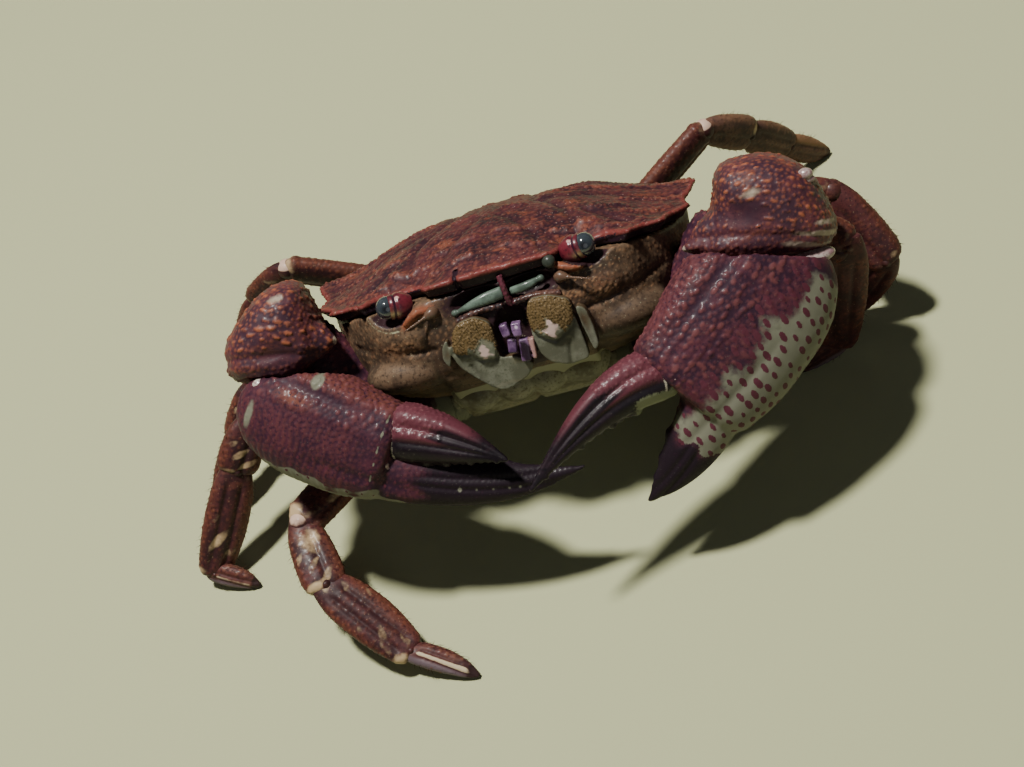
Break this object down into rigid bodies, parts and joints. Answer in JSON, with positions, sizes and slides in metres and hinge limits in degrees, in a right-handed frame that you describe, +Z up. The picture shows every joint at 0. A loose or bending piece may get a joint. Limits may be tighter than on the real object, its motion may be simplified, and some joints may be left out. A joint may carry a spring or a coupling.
{
  "type": "rough rock crab model",
  "caption": "Life-size still model of a rough rock crab, reared up on eight walking legs with both claws folded in front of its mouth.",
  "frame": {"origin": "on the floor, under the middle of the whole stance as seen from above", "axes": "+Z up from the floor, -Y the way the crab faces, +X towards the crab's left side"},
  "size_m": [0.1597, 0.1122, 0.0611],
  "materials": {
    "shell": "wet-looking maroon shell with rusty mottles and fine grains",
    "flank": "olive and tan shell underside with orange blotches",
    "cream": "cream and green breastplate",
    "mouth": "dark brown mouth frame",
    "fuzz": "pale jaw plates with sandy fuzz at the top",
    "feeler": "green-grey feelers",
    "stalk": "glossy crimson eyestalk",
    "eye": "wet blue-grey cornea",
    "claw": "maroon claw with orange-red grains and a pale spotted lower margin",
    "finger": "black finger with a maroon ridged base",
    "leg": "dark maroon and brown leg with cream flecks",
    "toe": "striped brown, cream and purple-grey toe with short bristles"
  },
  "bodies": {
    "root": {"carapace": "shell", "flank_l": "flank", "flank_r": "flank", "epistome": "mouth", "sternum": "cream", "abdomen": "cream", "maxilliped_l": "fuzz", "maxilliped_r": "fuzz", "antennule_l": "feeler", "antennule_r": "feeler", "antenna_l": "feeler", "antenna_r": "feeler", "eyestalk_l": "stalk", "eyestalk_r": "stalk", "eye_l": "eye", "eye_r": "eye", "arm_l": "claw", "arm_r": "claw", "wrist_l": "claw", "wrist_r": "claw", "palm_l": "claw", "palm_r": "claw", "finger_l": "finger", "finger_r": "finger", "leg2_l_merus": "leg", "leg2_l_carpus": "leg", "leg2_l_propodus": "leg", "leg2_l_dactyl": "toe", "leg3_l_merus": "leg", "leg3_l_carpus": "leg", "leg3_l_propodus": "leg", "leg3_l_dactyl": "toe", "leg4_l_merus": "leg", "leg4_l_carpus": "leg", "leg4_l_propodus": "leg", "leg4_l_dactyl": "toe", "leg5_l_merus": "leg", "leg5_l_carpus": "leg", "leg5_l_propodus": "leg", "leg5_l_dactyl": "toe", "leg2_r_merus": "leg", "leg2_r_carpus": "leg", "leg2_r_propodus": "leg", "leg2_r_dactyl": "toe", "leg3_r_merus": "leg", "leg3_r_carpus": "leg", "leg3_r_propodus": "leg", "leg3_r_dactyl": "toe", "leg4_r_merus": "leg", "leg4_r_carpus": "leg", "leg4_r_propodus": "leg", "leg4_r_dactyl": "toe", "leg5_r_merus": "leg", "leg5_r_carpus": "leg", "leg5_r_propodus": "leg", "leg5_r_dactyl": "toe"}
  },
  "joints": []
}
